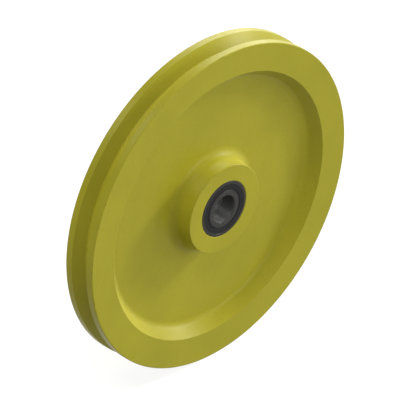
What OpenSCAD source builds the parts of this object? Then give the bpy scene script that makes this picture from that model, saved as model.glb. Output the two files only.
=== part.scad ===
// Grooved cast wheel for a sliding gate. It runs on inverted-angle track, on two
// sealed ball bearings that sit back to back in the hub with a sleeve between them.
// The wheel's axis is Y, its centre is the origin and its front face looks along -Y.
// All sizes are in millimetres, and angles are in degrees.

/* [Rim and web] */
// Outside diameter of the wheel
wheel_d = 300; // [220:5:380]
// Width of the rim along the axis
rim_w = 31; // [26:0.5:40]
// Radial depth of the rim face, from the outside to the edge of the recess
rim_depth = 26; // [18:0.5:34]
// Thickness of the web between the hub and the rim
web_t = 8; // [6:0.5:12]
// Slope of the recess wall, measured from the axis
wall_draft = 36; // [10:1:45]
// Fillet between the recess wall and the web
wall_fillet = 7; // [2:0.5:9]
// Width of the chamfers on the machined edges of the casting
edge_break = 0.6; // [0.2:0.1:1.2]

/* [Groove] */
// Width of the V groove where it opens on the rim
groove_w = 17.6; // [10:0.2:22]
// Angle between the two flanks of the groove
groove_angle = 90; // [80:1:110]
// Radius at the bottom of the groove
groove_root_r = 1.5; // [0.5:0.1:3]

/* [Hub] */
// Diameter of the hub at its faces
hub_d = 82; // [76:1:100]
// Length of the hub along the axis, which the two bearings and the sleeve share
hub_w = 45; // [36:0.5:60]
// Slope of the hub's side, measured from the axis
hub_draft = 3; // [2:1:25]
// Fillet between the hub's side and the web
hub_fillet = 9; // [2:0.5:10]

/* [Bearing] */
// Bore of the bearing, which is the axle's diameter
bearing_bore = 25; // [20:1:30]
// Outside diameter of the bearing
bearing_d = 52; // [47:1:62]
// Width of the bearing
bearing_w = 15; // [12.5:0.5:18]
// Corner radius of the bearing's rings
ring_corner_r = 1; // [0.3:0.1:1.2]
// Width of the chamfers beside the seals, on the rings' sharp corners
ring_break = 0.2; // [0.1:0.05:0.3]
// Diameter of the balls
ball_d = 7.938; // [6.6:0.001:9.6]
// Number of balls in each bearing
ball_count = 9; // [7:1:9]
// Depth to which each race wraps round the balls
race_depth = 1.95; // [1:0.05:2.2]
// Race radius as a multiple of the ball's radius
race_conformity = 1.04; // [1.02:0.01:1.08]
// Gap between a ball and each race
race_gap = 0.03; // [0.02:0.01:0.06]

/* [Seals] */
// Thickness of a seal
seal_t = 1.2; // [0.8:0.1:1.4]
// Depth of a seal's face below the face of the rings
seal_inset = 0.2; // [0.1:0.05:0.4]
// Radial depth of the seal's seat behind the shoulder of the outer ring
seal_step = 1.8; // [1.2:0.1:2]
// Height of the bead that snaps the seal into the outer ring
seal_bead = 0.5; // [0.3:0.05:0.6]
// Width of that bead along the axis
seal_bead_w = 0.6; // [0.4:0.1:0.8]
// Radius of the flexing groove in the face of a seal, beside its lip
lip_groove_r = 0.4; // [0.2:0.05:0.5]
// Distance of that groove's middle from the lip
lip_groove_in = 1.2; // [1:0.1:1.6]

/* [Cage] */
// Thickness of the cage's sheet steel
cage_t = 0.6; // [0.4:0.05:0.8]
// Radial width of the cage's ribbon
cage_ribbon = 3.2; // [2.4:0.1:3.4]
// Gap between a ball and its pocket
pocket_gap = 0.1; // [0.08:0.01:0.2]
// Diameter of a cage rivet's shank
rivet_d = 1.2; // [0.8:0.1:1.4]
// Diameter of a cage rivet's heads
rivet_head_d = 2; // [1.6:0.1:2.2]
// Height of a cage rivet's heads
rivet_head_h = 0.4; // [0.3:0.05:0.6]

/* [Sleeve] */
// Step from the inner ring's shoulder down to the outside of the sleeve
sleeve_step = 0.8; // [0.4:0.1:1.2]
// Chamfer on the ends of the sleeve
sleeve_chamfer = 0.5; // [0.2:0.1:0.8]

/* [Fits] */
// Gap between a bearing's outer ring and its seat in the hub
seat_gap = 0.01; // [0:0.005:0.03]
// Gap between the sleeve's bore and the axle
sleeve_gap = 0.25; // [0.1:0.05:0.5]
// Gap between a seal and its seat in the outer ring
seal_gap = 0.05; // [0.02:0.01:0.1]
// Gap between a seal's lip and the inner ring
lip_gap = 0.1; // [0.05:0.01:0.2]
// Gap between a rivet's shank and its hole in the cage
rivet_gap = 0.02; // [0.01:0.01:0.05]

/* [Hidden] */
$fn = 180;
// how far a cutting shape runs past the face that it cuts
overrun = 1;

wheel_r = wheel_d / 2;
rim_y = rim_w / 2;
web_y = web_t / 2;
recess_r = wheel_r - rim_depth;
hub_r = hub_d / 2;
hub_y = hub_w / 2;

// the fillet at the recess wall: its centre, and where it leaves the wall
wall_fillet_y = web_y + wall_fillet;
wall_end_y = wall_fillet_y - wall_fillet * sin(wall_draft);
wall_end_r = recess_r - (rim_y - wall_end_y) * tan(wall_draft);
wall_fillet_c = wall_end_r - wall_fillet * cos(wall_draft);

// the fillet at the hub's side: its centre, and where it leaves the side
hub_fillet_y = web_y + hub_fillet;
hub_end_y = hub_fillet_y - hub_fillet * sin(hub_draft);
hub_end_r = hub_r + (hub_y - hub_end_y) * tan(hub_draft);
hub_fillet_c = hub_end_r + hub_fillet * cos(hub_draft);

// the groove's flanks meet at groove_apex_r, below the rounded root
flank = groove_angle / 2;
groove_apex_r = wheel_r - groove_w / 2 / tan(flank);
groove_root_c = groove_apex_r + groove_root_r / sin(flank);
root_tangent = groove_root_r / tan(flank);
root_end_r = groove_apex_r + root_tangent * cos(flank);
root_end_y = root_tangent * sin(flank);

bore_r = bearing_bore / 2;
bearing_r = bearing_d / 2;
half_bearing = bearing_w / 2;
bearing_y = hub_y - half_bearing;
seat_r = bearing_r + seat_gap;
seat_floor_y = hub_y - bearing_w;

ball_r = ball_d / 2;
pitch_r = (bore_r + bearing_r) / 2;
race_r = ball_r * race_conformity;
inner_race_r = pitch_r - ball_r - race_gap;
outer_race_r = pitch_r + ball_r + race_gap;
inner_shoulder_r = inner_race_r + race_depth;
outer_shoulder_r = outer_race_r - race_depth;

seal_seat_r = outer_shoulder_r + seal_step;
seal_lip_r = inner_shoulder_r + lip_gap;
seal_face_y = half_bearing - seal_inset;
seal_back_y = seal_face_y - seal_t;
bead_y = (seal_face_y + seal_back_y) / 2;

pocket_r = ball_r + pocket_gap;
ball_step = 360 / ball_count;
sleeve_r = inner_shoulder_r - sleeve_step;
// the hub's land stops each bearing, and clears the seal on its inner side
land_r = seal_seat_r;

SIDES = ["front", "rear"];
BEARING_PARTS = [
    "outer_ring", "inner_ring", "outboard_seal", "inboard_seal",
    "outboard_cage", "inboard_cage", "cage_rivets"
];

// Turns a profile about the Y axis. In the profile, x is the radius and y runs along +Y.
module turned() {
    rotate([-90, 0, 0]) rotate_extrude() children();
}

// A rectangle from corner a to corner b.
module block(a, b) {
    translate(a) square(b - a);
}

// Puts a front bearing's piece in its seat, or its mirror image in the rear seat.
module in_seat(side) {
    mirror([0, side == "rear" ? 1 : 0, 0]) translate([0, -bearing_y, 0]) children();
}

// Repeats a piece at the outboard face, whose side is -1, or the inboard face, whose side is 1.
module on_face(side) {
    mirror([0, side < 0 ? 1 : 0, 0]) children();
}

// Moves a piece to the i-th place round the pitch circle. Halves are midway between balls.
module at_place(i) {
    rotate([0, -i * ball_step, 0]) translate([0, 0, pitch_r]) children();
}

// One half of the casting's section, from the hub's land out to the root of the groove.
half_section = [
    [land_r, seat_floor_y],
    [seat_r, seat_floor_y],
    [seat_r, hub_y - edge_break],
    [seat_r + edge_break, hub_y],
    [hub_r - edge_break, hub_y],
    [hub_r + edge_break * tan(hub_draft), hub_y - edge_break],
    [hub_end_r, hub_end_y],
    [hub_fillet_c, web_y],
    [wall_fillet_c, web_y],
    [wall_end_r, wall_end_y],
    [recess_r, rim_y],
    [wheel_r - edge_break, rim_y],
    [wheel_r, rim_y - edge_break],
    [wheel_r, groove_w / 2],
    [root_end_r, root_end_y]
];

module wheel_body() {
    color("goldenrod") turned() difference() {
        polygon(concat(
            half_section,
            [for (i = [len(half_section) - 1 : -1 : 0]) [half_section[i].x, -half_section[i].y]]
        ));
        for (side = [-1, 1]) {
            translate([hub_fillet_c, side * hub_fillet_y]) circle(hub_fillet);
            translate([wall_fillet_c, side * wall_fillet_y]) circle(wall_fillet);
        }
        translate([groove_root_c, 0]) circle(groove_root_r);
    }
}

// The sleeve that keeps the two inner rings apart on the axle.
module spacer_sleeve() {
    inner = bore_r + sleeve_gap;
    c = sleeve_chamfer;
    color("silver") turned() polygon([
        [inner + c, seat_floor_y], [sleeve_r - c, seat_floor_y],
        [sleeve_r, seat_floor_y - c], [sleeve_r, c - seat_floor_y],
        [sleeve_r - c, -seat_floor_y], [inner + c, -seat_floor_y],
        [inner, c - seat_floor_y], [inner, seat_floor_y - c]
    ]);
}

// The section of a ring, from radius a to radius b, with rounded corners on the side at
// radius round_r. Its other corners stay square.
module ring_section(a, b, round_r) {
    c = ring_corner_r;
    inward = round_r == a ? 1 : -1;
    difference() {
        block([a, -half_bearing], [b, half_bearing]);
        for (side = [-1, 1]) difference() {
            translate([round_r, side * half_bearing]) square(2 * c, center = true);
            translate([round_r + inward * c, side * (half_bearing - c)]) circle(c);
        }
    }
}

// The shape that cuts a corner of a section off at 45 degrees.
module corner_cut(corner) {
    translate(corner) rotate(45) square(ring_break * sqrt(2), center = true);
}

module outer_ring() {
    color("dimgray") turned() difference() {
        ring_section(outer_shoulder_r, bearing_r, bearing_r);
        translate([outer_race_r - race_r, 0]) circle(race_r);
        for (side = [-1, 1]) mirror([0, side < 0 ? 1 : 0]) {
            corner_cut([seal_seat_r, half_bearing]);
            block([outer_shoulder_r - overrun, seal_back_y], [seal_seat_r, half_bearing + overrun]);
            block(
                [seal_seat_r - overrun, bead_y - seal_bead_w / 2],
                [seal_seat_r + seal_bead, bead_y + seal_bead_w / 2]
            );
        }
    }
}

module inner_ring() {
    color("dimgray") turned() difference() {
        ring_section(bore_r, inner_shoulder_r, bore_r);
        translate([inner_race_r + race_r, 0]) circle(race_r);
        for (side = [-1, 1]) corner_cut([inner_shoulder_r, side * half_bearing]);
    }
}

// A rubber seal: a flat ring with a bead round the outside and a lip beside a flexing groove.
module seal(side) {
    color("black") on_face(side) turned() difference() {
        union() {
            block([seal_lip_r, seal_back_y], [seal_seat_r - seal_gap, seal_face_y]);
            block(
                [seal_seat_r - overrun, bead_y - seal_bead_w / 2 + seal_gap],
                [seal_seat_r + seal_bead - seal_gap, bead_y + seal_bead_w / 2 - seal_gap]
            );
        }
        translate([seal_lip_r + lip_groove_in, seal_face_y]) circle(lip_groove_r);
    }
}

// Half of the pressed cage: a flat ribbon that is dished round each ball.
module cage_half(side) {
    ribbon_in = pitch_r - cage_ribbon / 2;
    ribbon_out = pitch_r + cage_ribbon / 2;
    color("lightslategray") on_face(side) difference() {
        intersection() {
            union() {
                turned() block([ribbon_in, 0], [ribbon_out, cage_t]);
                for (i = [1 : ball_count]) at_place(i) sphere(pocket_r + cage_t);
            }
            turned() block([ribbon_in, 0], [ribbon_out, half_bearing]);
        }
        for (i = [1 : ball_count]) {
            at_place(i) sphere(pocket_r);
            at_place(i + 0.5) rotate([90, 0, 0])
                cylinder(h = 4 * cage_t, d = rivet_d + 2 * rivet_gap, center = true);
        }
    }
}

// One rivet, with a domed head on each side of the cage.
module rivet() {
    head_r = rivet_head_d / 2;
    // a dome of this height and radius is part of a sphere of dome_r
    dome_r = (head_r * head_r + rivet_head_h * rivet_head_h) / (2 * rivet_head_h);
    turned() union() {
        block([0, -cage_t - rivet_head_h / 2], [rivet_d / 2, cage_t + rivet_head_h / 2]);
        for (side = [-1, 1]) mirror([0, side < 0 ? 1 : 0]) intersection() {
            translate([0, cage_t + rivet_head_h - dome_r]) circle(dome_r);
            block([0, cage_t], [head_r, cage_t + rivet_head_h]);
        }
    }
}

module cage_rivets() {
    color("silver") for (i = [1 : ball_count]) at_place(i + 0.5) rivet();
}

module ball(i) {
    color("lightgray") at_place(i) sphere(ball_r);
}

// One bearing part by name, in the bearing's own frame. Outboard is towards -Y there.
module bearing_part(part) {
    if (part == "outer_ring") outer_ring();
    if (part == "inner_ring") inner_ring();
    if (part == "outboard_seal") seal(-1);
    if (part == "inboard_seal") seal(1);
    if (part == "outboard_cage") cage_half(-1);
    if (part == "inboard_cage") cage_half(1);
    if (part == "cage_rivets") cage_rivets();
}

wheel_body();
spacer_sleeve();
for (s = SIDES) for (p = BEARING_PARTS)
    in_seat(s) bearing_part(p);
for (s = SIDES) for (i = [1 : ball_count])
    in_seat(s) ball(i);
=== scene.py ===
import math

import bmesh
import bpy
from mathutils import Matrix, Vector, noise


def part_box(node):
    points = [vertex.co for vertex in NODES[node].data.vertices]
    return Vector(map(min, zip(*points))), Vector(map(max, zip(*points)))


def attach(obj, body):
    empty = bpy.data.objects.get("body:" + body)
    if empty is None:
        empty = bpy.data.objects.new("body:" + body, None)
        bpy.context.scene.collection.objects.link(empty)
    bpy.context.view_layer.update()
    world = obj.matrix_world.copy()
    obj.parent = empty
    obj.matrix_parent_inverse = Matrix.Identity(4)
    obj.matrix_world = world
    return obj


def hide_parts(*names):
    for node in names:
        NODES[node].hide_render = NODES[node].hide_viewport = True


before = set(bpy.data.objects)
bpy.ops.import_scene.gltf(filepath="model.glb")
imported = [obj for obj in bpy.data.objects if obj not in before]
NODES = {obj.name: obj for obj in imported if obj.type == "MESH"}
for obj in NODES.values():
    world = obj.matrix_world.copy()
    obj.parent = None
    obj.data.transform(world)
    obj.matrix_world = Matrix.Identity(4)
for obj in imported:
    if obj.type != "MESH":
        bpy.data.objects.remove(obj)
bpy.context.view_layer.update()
MM = 0.001

# Sizes of the casting, in millimetres. They are the CAD's own.
WHEEL_R = 150
RIM_W = 31
RIM_DEPTH = 26
WEB_T = 8
WALL_DRAFT = math.radians(36)
WALL_FILLET = 7
GROOVE_W = 17.6
GROOVE_FLANK = math.radians(45)
GROOVE_ROOT_R = 1.5
HUB_R = 41
HUB_W = 45
HUB_DRAFT = math.radians(3)
HUB_FILLET = 9
SEAT_R = 26.01
SEAT_DEPTH = 15
LAND_R = 23.1
BORE_R = 12.5
EDGE_BREAK = 0.6

# The rubbing lip of a seal, in millimetres: the radius of the CAD seal's inner wall, how far the lip is
# rooted behind it, the lip's width there, and the radius and width of its tip, just clear of the inner
# ring. Last come the steps in its turn.
SEAL_INNER_R = 17.301
LIP_ROOTED = 0.03
LIP_W = 0.7
LIP_TIP_R = 17.206
LIP_TIP_W = 0.12
LIP_STEPS = 240

# How finely the casting is turned: steps in a turn, and along its section the widest steps on rough and on
# machined faces, the step beside a corner, how fast steps grow from there, and the steps in a fillet and
# in a broken edge.
TURN_STEPS = 288
CAST_STEP = 1.6
MACHINED_STEP = 8
EDGE_STEP = 0.15
STEP_GROWTH = 3
ARC_STEPS = 12
BREAK_STEPS = 5

# Unevenness of a sand mould: its depth in millimetres, the scales of its two noises and their shares.
SAND_DEPTH = 0.09
COARSE_SAND = 140
FINE_SAND = 420
COARSE_SHARE = 0.7
FINE_SHARE = 0.3

# Colours, as linear red, green and blue.
ENAMEL = (0.382, 0.345, 0.0225)
WORN_ENAMEL = (0.3, 0.265, 0.03)
DARKENED_STEEL = (0.034, 0.032, 0.027)
OILED_STEEL = (0.038, 0.037, 0.035)
# Painted light: the inner ring's bore is lighter than its faces, standing in for light that doesn't reach
# inside it.
BORE_PAINTED_LIGHT = (0.085, 0.085, 0.08)
# Painted shade: the sleeve's turned steel is much darker than bare steel, standing in for the shade deep in
# the bore.
SLEEVE_STEEL_PAINTED_SHADE = (0.12, 0.12, 0.115)
RUBBER = (0.015, 0.0145, 0.0155)
CAGE_STEEL = (0.42, 0.42, 0.4)
BALL_STEEL = (0.75, 0.75, 0.75)

# Scales of the noises in the materials, from the widest to the finest.
DRIFT_SCALE = 18
STAIN_SCALE = 90
BLOOM_SCALE = 220
PEEL_SCALE = 260
CHIP_SCALE = 330
CLOUD_SCALE = 400
FILM_SCALE = 500
GRAIN_SCALE = 700
# The same for fine circles round the axle.
SLEEVE_LINES = 900
CASTING_LINES = 1200
SEAL_LINES = 1800
RING_LINES = 2600
# The middle part of a noise's range, over which its ramps run.
NOISE_LOW = 0.3
NOISE_HIGH = 0.7

# Depths of fine relief, in metres.
LINE_DEPTH = 0.00001
SEAL_LINE_DEPTH = 0.00002
PEEL_DEPTH = 0.00005
GRAIN_DEPTH = 0.00015
CLOUD_DEPTH = 0.00001

# How far outside its wall, in millimetres, a ring still has the bore's lighter colour, which is painted
# light.
BORE_MARGIN = 0.1

# The share of the sand's grain that machining leaves, and how much rougher the enamel is where it is worn.
GRAIN_LEFT = 0.1
WORN_ROUGHER = 0.15

# Camera: a plain isometric view, from in front, above and the left. Lengths are in metres.
CAMERA_AZIMUTH = math.radians(-45)
CAMERA_ELEVATION = math.atan(1 / math.sqrt(2))
CAMERA_WIDTH = 0.336
CAMERA_AIM = (-0.0044, -0.0016)
CAMERA_DISTANCE = 1.5
CAMERA_REACH = 20

# The floor's width in metres, its grey under the lamps and the white it adds where it is seen. Then the
# backdrop's strength as a light, and where it is seen.
FLOOR_SIZE = 12
FLOOR_GREY = 0.3
FLOOR_WHITE = 0.75
WORLD_LIGHT = 0.3
WORLD_WHITE = 1.0

# Lamps: name, azimuth and elevation of where it stands in degrees, strength, how wide it looks in
# degrees, and whether it casts shadows.
LAMPS = [
    ("key", 72, 22, 1.6, 10, True),
    ("front_fill", 20, 8, 0.95, 25, True),
    ("right_fill", 60, 8, 0.9, 25, True),
    ("top_left", -60, 68, 0.95, 25, True),
    ("low_right", 100, -10, 1.2, 25, False),
    ("far_right", 120, 8, 0.8, 25, False),
    ("back_right", 140, 25, 1.55, 25, False),
    ("back", 210, 45, 0.8, 25, False),
]
LAMP_DISTANCE = 2


def socket(node, name, value):
    node.inputs[name].default_value = value
    return node


def tinted(colour, share):
    """The colour, lighter or darker by a share."""
    return tuple(c * share for c in colour)


class Nodes:
    """A material's nodes, wired with short calls."""

    def __init__(self, tree):
        self.tree = tree

    def add(self, kind, **settings):
        node = self.tree.nodes.new(kind)
        for name, value in settings.items():
            setattr(node, name, value)
        return node

    def link(self, a, b):
        self.tree.links.new(a, b)

    def math(self, operation, a, b=None, clamp=False):
        node = self.add("ShaderNodeMath", operation=operation, use_clamp=clamp)
        for i, value in enumerate((a, b)):
            if isinstance(value, bpy.types.NodeSocket):
                self.link(value, node.inputs[i])
            elif value is not None:
                node.inputs[i].default_value = value
        return node.outputs[0]

    def layer(self, name):
        """A value that the mesh carries at each vertex."""
        return self.add("ShaderNodeAttribute", attribute_name=name).outputs["Fac"]

    def noise(self, place, scale, detail=3, rough=0.5):
        node = self.add("ShaderNodeTexNoise")
        self.link(place, node.inputs["Vector"])
        socket(node, "Scale", scale)
        socket(node, "Detail", detail)
        socket(node, "Roughness", rough)
        return node.outputs["Fac"]

    def ramp(self, value, low, high):
        """A noise's middle part, stretched to run from low to high."""
        node = self.add("ShaderNodeMapRange")
        self.link(value, node.inputs["Value"])
        socket(node, "From Min", NOISE_LOW)
        socket(node, "From Max", NOISE_HIGH)
        socket(node, "To Min", low)
        socket(node, "To Max", high)
        return node.outputs["Result"]

    def mix_colour(self, factor, a, b):
        node = self.add("ShaderNodeMix", data_type="RGBA")
        self.link(factor, node.inputs["Factor"])
        for name, value in (("A", a), ("B", b)):
            plug = [s for s in node.inputs if s.name == name and s.type == "RGBA"][0]
            if isinstance(value, bpy.types.NodeSocket):
                self.link(value, plug)
            else:
                plug.default_value = (*value, 1)
        return [s for s in node.outputs if s.type == "RGBA"][0]

    def mottled(self, pattern, colour, low, high):
        """The colour, from low to high times its strength as the noise goes."""
        return self.mix_colour(self.ramp(pattern, low=0, high=1), tinted(colour, low), tinted(colour, high))

    def bump(self, height, depth, under=None):
        node = self.add("ShaderNodeBump")
        self.link(height, node.inputs["Height"])
        socket(node, "Strength", 1)
        socket(node, "Distance", depth)
        if under is not None:
            self.link(under, node.inputs["Normal"])
        return node.outputs["Normal"]


def new_material(name, colour, rough, metal=0.0, specular=0.5):
    """A Principled material, with its nodes, its shader and the place on the object."""
    material = bpy.data.materials.new(name)
    material.use_nodes = True
    nodes = Nodes(material.node_tree)
    shader = material.node_tree.nodes["Principled BSDF"]
    socket(shader, "Base Color", (*colour, 1))
    socket(shader, "Roughness", rough)
    socket(shader, "Metallic", metal)
    socket(shader, "Specular IOR Level", specular)
    place = nodes.add("ShaderNodeTexCoord").outputs["Object"]
    return material, nodes, shader, place


def axle_place(n, place):
    """The distance from the axle, and the place along it."""
    parts = n.add("ShaderNodeSeparateXYZ")
    n.link(place, parts.inputs[0])
    x, y, z = parts.outputs
    return n.math("SQRT", n.math("ADD", n.math("MULTIPLY", x, x), n.math("MULTIPLY", z, z))), y


def circles_of(n, place, scale):
    """Fine circles round the axle: noise read along the radius and the axle alone."""
    radius, y = axle_place(n, place)
    joined = n.add("ShaderNodeCombineXYZ")
    n.link(radius, joined.inputs[0])
    n.link(y, joined.inputs[1])
    return n.noise(joined.outputs[0], scale, detail=2)


def painted_casting():
    """Yellow enamel. Sand grain shows through it on the rough faces, with painted shade darkening its pits,
    and faint turning marks on the machined ones, and it wears thin along the broken edges."""
    material, n, shader, place = new_material("casting_enamel", ENAMEL, rough=0.33, specular=0.1)
    rough_cast = n.layer("rough_cast")
    edge = n.layer("edge")
    drift = n.noise(place, DRIFT_SCALE, detail=2)
    grain = n.noise(place, GRAIN_SCALE, detail=4, rough=0.6)
    peel = n.noise(place, PEEL_SCALE, detail=2)
    chips = n.noise(place, CHIP_SCALE, detail=5)

    # Painted shade: the low spots of the sand's relief are darkened, standing in for shade in its pits.
    painted_pit_shade = n.math("MULTIPLY", n.ramp(grain, low=0.35, high=0), rough_cast, clamp=True)
    worn = n.math("MULTIPLY", n.ramp(chips, low=-1.5, high=1.2), edge, clamp=True)
    skin = n.mottled(drift, ENAMEL, low=0.93, high=1.05)
    skin = n.mix_colour(painted_pit_shade, skin, tinted(ENAMEL, 0.8))
    n.link(n.mix_colour(worn, skin, WORN_ENAMEL), shader.inputs["Base Color"])

    rough = n.math("ADD", n.ramp(grain, low=0.28, high=0.38), n.math("MULTIPLY", worn, WORN_ROUGHER))
    n.link(rough, shader.inputs["Roughness"])

    machined = n.math("SUBTRACT", 1, rough_cast)
    marks = n.math("MULTIPLY", circles_of(n, place, CASTING_LINES), machined)
    kept_grain = n.math("ADD", n.math("MULTIPLY", rough_cast, 1 - GRAIN_LEFT), GRAIN_LEFT)
    sand = n.math("MULTIPLY", grain, kept_grain)
    relief = n.bump(marks, LINE_DEPTH, n.bump(peel, PEEL_DEPTH))
    n.link(n.bump(sand, GRAIN_DEPTH, relief), shader.inputs["Normal"])
    return material


def ground_steel(name, colour, rough, bore=None, lines=RING_LINES):
    """Turned or ground steel under a film of oil, with fine lines round the axle. Its bore may have a lighter
    colour of its own, painted light that stands in for the light that doesn't reach inside the bore."""
    material, n, shader, place = new_material(name, colour, rough, metal=0.5, specular=0.1)
    circles = circles_of(n, place, lines)
    stain = n.noise(place, STAIN_SCALE, detail=3)
    skin = n.mottled(stain, colour, low=0.85, high=1.12)
    if bore:
        # Painted light: inside the bore a lighter colour stands in for the light that doesn't get there.
        bore_light_mask = n.math("LESS_THAN", axle_place(n, place)[0], (BORE_R + BORE_MARGIN) * MM)
        skin = n.mix_colour(bore_light_mask, skin, bore)
    n.link(skin, shader.inputs["Base Color"])
    n.link(n.ramp(circles, low=rough * 0.85, high=rough * 1.2), shader.inputs["Roughness"])
    n.link(n.bump(circles, LINE_DEPTH), shader.inputs["Normal"])
    return material


def seal_rubber():
    """Black nitrile with a soft bloom."""
    material, n, shader, place = new_material("seal_rubber", RUBBER, rough=0.6, specular=0.1)
    bloom = n.noise(place, BLOOM_SCALE, detail=4)
    n.link(n.mottled(bloom, RUBBER, low=0.8, high=1.3), shader.inputs["Base Color"])
    n.link(n.ramp(bloom, low=0.52, high=0.7), shader.inputs["Roughness"])
    n.link(n.bump(circles_of(n, place, SEAL_LINES), SEAL_LINE_DEPTH), shader.inputs["Normal"])
    return material


def pressed_steel():
    """Cage strip, with the faint cloud of a pressing."""
    material, n, shader, place = new_material("cage_steel", CAGE_STEEL, rough=0.38, metal=1.0)
    cloud = n.noise(place, CLOUD_SCALE, detail=4)
    n.link(n.mottled(cloud, CAGE_STEEL, low=0.88, high=1.1), shader.inputs["Base Color"])
    n.link(n.ramp(cloud, low=0.32, high=0.46), shader.inputs["Roughness"])
    n.link(n.bump(cloud, CLOUD_DEPTH), shader.inputs["Normal"])
    return material


def ball_steel():
    """Lapped chrome steel."""
    material, n, shader, place = new_material("ball_steel", BALL_STEEL, rough=0.08, metal=1.0)
    film = n.noise(place, FILM_SCALE, detail=3)
    n.link(n.mottled(film, BALL_STEEL, low=0.95, high=1), shader.inputs["Base Color"])
    n.link(n.ramp(film, low=0.06, high=0.12), shader.inputs["Roughness"])
    return material


def arc(centre, radius, start, end, steps):
    """Points from one angle to another, in the (radius, y) half plane."""
    points = []
    for i in range(steps + 1):
        a = start + (end - start) * i / steps
        points.append((centre[0] + radius * math.cos(a), centre[1] + radius * math.sin(a)))
    return points


def rounded(before, corner, after, setback, steps):
    """The corner between two straight runs, rounded by an arc that starts and ends a setback from it."""
    c = Vector(corner)
    into = (c - Vector(before)).normalized()
    out = (Vector(after) - c).normalized()
    start, end = c - into * setback, c + out * setback
    turn = into.angle_signed(out)
    bend = setback / math.tan(abs(turn) / 2)
    middle = start + Vector((into.y, -into.x)) * (bend if turn > 0 else -bend)
    a = math.atan2(start.y - middle.y, start.x - middle.x)
    b = math.atan2(end.y - middle.y, end.x - middle.x)
    while b - a > math.pi:
        b -= 2 * math.pi
    while b - a < -math.pi:
        b += 2 * math.pi
    return arc(middle, bend, a, b, steps)


def casting_section():
    """Half of the casting's section on the +Y side, from the land between the bearings outwards to the
    groove's root, as runs of (points, rough_cast, edge)."""
    rim_y, web_y, hub_y = RIM_W / 2, WEB_T / 2, HUB_W / 2
    recess_r = WHEEL_R - RIM_DEPTH
    seat_y = hub_y - SEAT_DEPTH

    hub_c_y = web_y + HUB_FILLET
    hub_end_y = hub_c_y - HUB_FILLET * math.sin(HUB_DRAFT)
    hub_end_r = HUB_R + (hub_y - hub_end_y) * math.tan(HUB_DRAFT)
    hub_c_r = hub_end_r + HUB_FILLET * math.cos(HUB_DRAFT)

    wall_c_y = web_y + WALL_FILLET
    wall_end_y = wall_c_y - WALL_FILLET * math.sin(WALL_DRAFT)
    wall_end_r = recess_r - (rim_y - wall_end_y) * math.tan(WALL_DRAFT)
    wall_c_r = wall_end_r - WALL_FILLET * math.cos(WALL_DRAFT)

    apex_r = WHEEL_R - GROOVE_W / 2 / math.tan(GROOVE_FLANK)
    root_c_r = apex_r + GROOVE_ROOT_R / math.sin(GROOVE_FLANK)

    hub_mouth = rounded((SEAT_R, seat_y), (SEAT_R, hub_y), (HUB_R, hub_y), EDGE_BREAK, BREAK_STEPS)
    hub_nose = rounded((SEAT_R, hub_y), (HUB_R, hub_y), (hub_end_r, hub_end_y), EDGE_BREAK, BREAK_STEPS)
    hub_root = arc((hub_c_r, hub_c_y), HUB_FILLET, math.pi + HUB_DRAFT, 1.5 * math.pi, ARC_STEPS)
    wall_root = arc((wall_c_r, wall_c_y), WALL_FILLET, -math.pi / 2, -WALL_DRAFT, ARC_STEPS)
    rim_corner = rounded((recess_r, rim_y), (WHEEL_R, rim_y), (WHEEL_R, 0), EDGE_BREAK, BREAK_STEPS)
    root = arc((root_c_r, 0), GROOVE_ROOT_R, math.pi - GROOVE_FLANK, math.pi, ARC_STEPS // 2)
    return [
        ([(LAND_R, 0), (LAND_R, seat_y), (SEAT_R, seat_y)], 0, 0),
        (hub_mouth, 0, 1),
        (hub_nose, 0, 1),
        (hub_root + wall_root, 1, 0),
        ([(recess_r, rim_y)], 1, 1),
        (rim_corner, 0, 1),
        ([(WHEEL_R, GROOVE_W / 2)], 0, 1),
        (root, 0, 0),
    ]


def filled_in(points):
    """The points with more between them on each long straight run: close beside its corners, and wider
    apart along it. Runs of no more than CAST_STEP, such as an arc's own, stay as they are."""
    out = [points[0]]
    for (r0, y0, cast0, _), (r1, y1, cast1, edge1) in zip(points, points[1:]):
        length = math.hypot(r1 - r0, y1 - y0)
        cast = max(cast0, cast1)
        widest = CAST_STEP if cast else MACHINED_STEP
        places = []
        step, at = EDGE_STEP, EDGE_STEP
        while length > CAST_STEP and at < length / 2:
            places.append(at)
            step = min(step * STEP_GROWTH, widest)
            at += step
        places = places + [length - p for p in reversed(places)]
        for p in places:
            t = p / length
            out.append((r0 + (r1 - r0) * t, y0 + (y1 - y0) * t, cast, 0))
        out.append((r1, y1, cast1, edge1))
    return out


def sand_skin(point):
    """How far sand leaves a rough face from its true place, in metres."""
    coarse = noise.noise(point * COARSE_SAND)
    fine = noise.noise(point * FINE_SAND)
    return (COARSE_SHARE * coarse + FINE_SHARE * fine) * SAND_DEPTH * MM


def turned(name, section, steps):
    """A closed section of (radius, y, rough_cast, edge) points in millimetres, turned round the axle.
    Rough faces get the unevenness of a sand mould."""
    mesh = bpy.data.meshes.new(name)
    bm = bmesh.new()
    cast_layer = bm.verts.layers.float.new("rough_cast")
    edge_layer = bm.verts.layers.float.new("edge")
    turns = []
    for k in range(steps):
        a = 2 * math.pi * k / steps
        x, z = math.cos(a), math.sin(a)
        ring = []
        for r, y, cast, edge in section:
            v = bm.verts.new((r * MM * x, y * MM, r * MM * z))
            v[cast_layer] = cast
            v[edge_layer] = edge
            ring.append(v)
        turns.append(ring)
    count = len(section)
    for k in range(steps):
        here, there = turns[k], turns[(k + 1) % steps]
        for i in range(count):
            j = (i + 1) % count
            bm.faces.new((here[i], here[j], there[j], there[i])).smooth = True
    bm.normal_update()
    for v in bm.verts:
        if v[cast_layer] > 0:
            v.co += v.normal * sand_skin(v.co)
    bmesh.ops.recalc_face_normals(bm, faces=bm.faces)
    bm.to_mesh(mesh)
    bm.free()
    piece = bpy.data.objects.new(name, mesh)
    bpy.context.scene.collection.objects.link(piece)
    return piece


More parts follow.
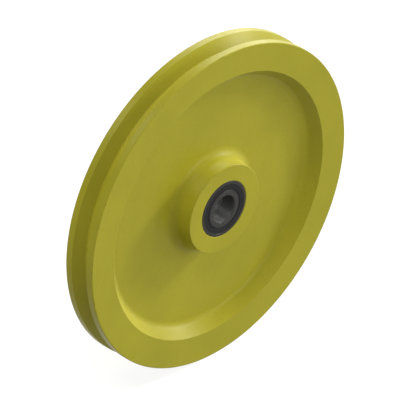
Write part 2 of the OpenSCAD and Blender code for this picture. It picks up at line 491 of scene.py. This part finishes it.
def turned_casting():
    """The wheel's casting, turned from its section, with rounded breaks along its machined edges."""
    half = []
    for points, rough_cast, edge in casting_section():
        half += [(r, y, rough_cast, edge) for r, y in points]
    half = filled_in(half)
    section = half + [(r, -y, cast, edge) for r, y, cast, edge in reversed(half)][1:-1]
    return turned("casting", section, TURN_STEPS)


def rubbing_lip(seal):
    """The thin edge of a seal that rubs on the inner ring, where the CAD leaves a running gap."""
    low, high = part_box(seal)
    middle = (low[1] + high[1]) / 2 / MM
    root_r = SEAL_INNER_R + LIP_ROOTED
    corners = [
        (root_r, -LIP_W / 2),
        (LIP_TIP_R, -LIP_TIP_W / 2),
        (LIP_TIP_R, LIP_TIP_W / 2),
        (root_r, LIP_W / 2),
    ]
    section = [(r, middle + y, 0, 0) for r, y in corners]
    return turned(seal.replace("seal", "lip"), section, LIP_STEPS)


def set_material(o, material):
    o.data.materials.clear()
    o.data.materials.append(material)


def dress_cad_nodes():
    """Gives each CAD node its material, through its slots, and returns the materials."""
    finishes = {
        "outer_ring": ground_steel("darkened_steel", DARKENED_STEEL, rough=0.4),
        # The inner ring's bore gets painted light: a lighter colour than its faces.
        "inner_ring": ground_steel("bearing_steel", OILED_STEEL, rough=0.38, bore=BORE_PAINTED_LIGHT),
        "seal": seal_rubber(),
        "cage": pressed_steel(),
        "ball": ball_steel(),
        # The sleeve's colour is painted shade: darker than bare turned steel, for the shade deep in the bore.
        "sleeve": ground_steel("turned_steel", SLEEVE_STEEL_PAINTED_SHADE, rough=0.35, lines=SLEEVE_LINES),
    }
    for name, o in NODES.items():
        for key, material in finishes.items():
            if key in name:
                for slot in o.material_slots:
                    slot.material = material
    return finishes


def towards_place(azimuth, elevation):
    """The direction of a place, from the wheel. Azimuth 0 is in front, at -Y, and a quarter turn is on the
    right, at +X."""
    return Vector((
        math.sin(azimuth) * math.cos(elevation),
        -math.cos(azimuth) * math.cos(elevation),
        math.sin(elevation),
    ))


def add_lamp(name, azimuth, elevation, strength, width, shadows):
    """A soft far lamp. It is a sun, so its distance has no effect."""
    towards = towards_place(math.radians(azimuth), math.radians(elevation))
    lamp = bpy.data.lights.new(name, "SUN")
    lamp.energy = strength
    lamp.angle = math.radians(width)
    lamp.use_shadow = shadows
    o = bpy.data.objects.new(name, lamp)
    o.location = towards * LAMP_DISTANCE
    o.rotation_mode = "QUATERNION"
    o.rotation_quaternion = towards.to_track_quat("Z", "Y")
    bpy.context.scene.collection.objects.link(o)


def seen_directly(n):
    """1 for a ray that shows the backdrop itself: straight, reflected or through glass."""
    path = n.add("ShaderNodeLightPath")
    seen = n.math("MAXIMUM", path.outputs["Is Camera Ray"], path.outputs["Is Glossy Ray"])
    return n.math("MAXIMUM", seen, path.outputs["Is Transmission Ray"])


def make_world():
    """A white backdrop that lights the wheel less than it shows."""
    world = bpy.data.worlds.new("studio")
    bpy.context.scene.world = world
    world.use_nodes = True
    n = Nodes(world.node_tree)
    back = world.node_tree.nodes["Background"]
    socket(back, "Color", (1, 1, 1, 1))
    strength = n.add("ShaderNodeMapRange")
    n.link(seen_directly(n), strength.inputs["Value"])
    socket(strength, "To Min", WORLD_LIGHT)
    socket(strength, "To Max", WORLD_WHITE)
    n.link(strength.outputs["Result"], back.inputs["Strength"])


def make_floor(height):
    """A plain pale floor that keeps a faint shadow. It can't be seen from below."""
    mesh = bpy.data.meshes.new("floor")
    h = FLOOR_SIZE / 2
    mesh.from_pydata([(-h, -h, height), (h, -h, height), (h, h, height), (-h, h, height)], [], [(0, 1, 2, 3)])
    floor = bpy.data.objects.new("floor", mesh)
    bpy.context.scene.collection.objects.link(floor)
    material = bpy.data.materials.new("floor")
    material.use_nodes = True
    tree = material.node_tree
    tree.nodes.remove(tree.nodes["Principled BSDF"])
    n = Nodes(tree)
    grey = socket(n.add("ShaderNodeBsdfDiffuse"), "Color", (FLOOR_GREY, FLOOR_GREY, FLOOR_GREY, 1))
    white = n.add("ShaderNodeEmission")
    n.link(n.math("MULTIPLY", seen_directly(n), FLOOR_WHITE), white.inputs["Strength"])
    both = n.add("ShaderNodeAddShader")
    n.link(grey.outputs[0], both.inputs[0])
    n.link(white.outputs[0], both.inputs[1])
    sides = n.add("ShaderNodeMixShader")
    n.link(n.add("ShaderNodeNewGeometry").outputs["Backfacing"], sides.inputs["Fac"])
    n.link(both.outputs[0], sides.inputs[1])
    n.link(n.add("ShaderNodeBsdfTransparent").outputs[0], sides.inputs[2])
    n.link(sides.outputs[0], tree.nodes["Material Output"].inputs["Surface"])
    mesh.materials.append(material)


def make_camera():
    """The camera of the photograph's view, aimed a little off the wheel's centre."""
    back = towards_place(CAMERA_AZIMUTH, CAMERA_ELEVATION)
    right = Vector((math.cos(CAMERA_AZIMUTH), math.sin(CAMERA_AZIMUTH), 0))
    up = back.cross(right)
    camera = bpy.data.cameras.new("camera")
    camera.type = "ORTHO"
    camera.ortho_scale = CAMERA_WIDTH
    camera.clip_end = CAMERA_REACH
    o = bpy.data.objects.new("camera", camera)
    o.location = right * CAMERA_AIM[0] + up * CAMERA_AIM[1] + back * CAMERA_DISTANCE
    o.rotation_mode = "QUATERNION"
    o.rotation_quaternion = (-back).to_track_quat("-Z", "Y")
    bpy.context.scene.collection.objects.link(o)
    bpy.context.scene.camera = o


def main():
    bpy.context.scene.view_settings.view_transform = "Standard"
    make_camera()
    make_world()
    make_floor(-WHEEL_R * MM)
    for lamp in LAMPS:
        add_lamp(*lamp)

    finishes = dress_cad_nodes()
    for name in NODES:
        if name.endswith("_seal"):
            lip = rubbing_lip(name)
            set_material(lip, finishes["seal"])
            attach(lip, "wheel")
    casting = turned_casting()
    set_material(casting, painted_casting())
    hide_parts("wheel_body")
    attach(casting, "wheel")


main()
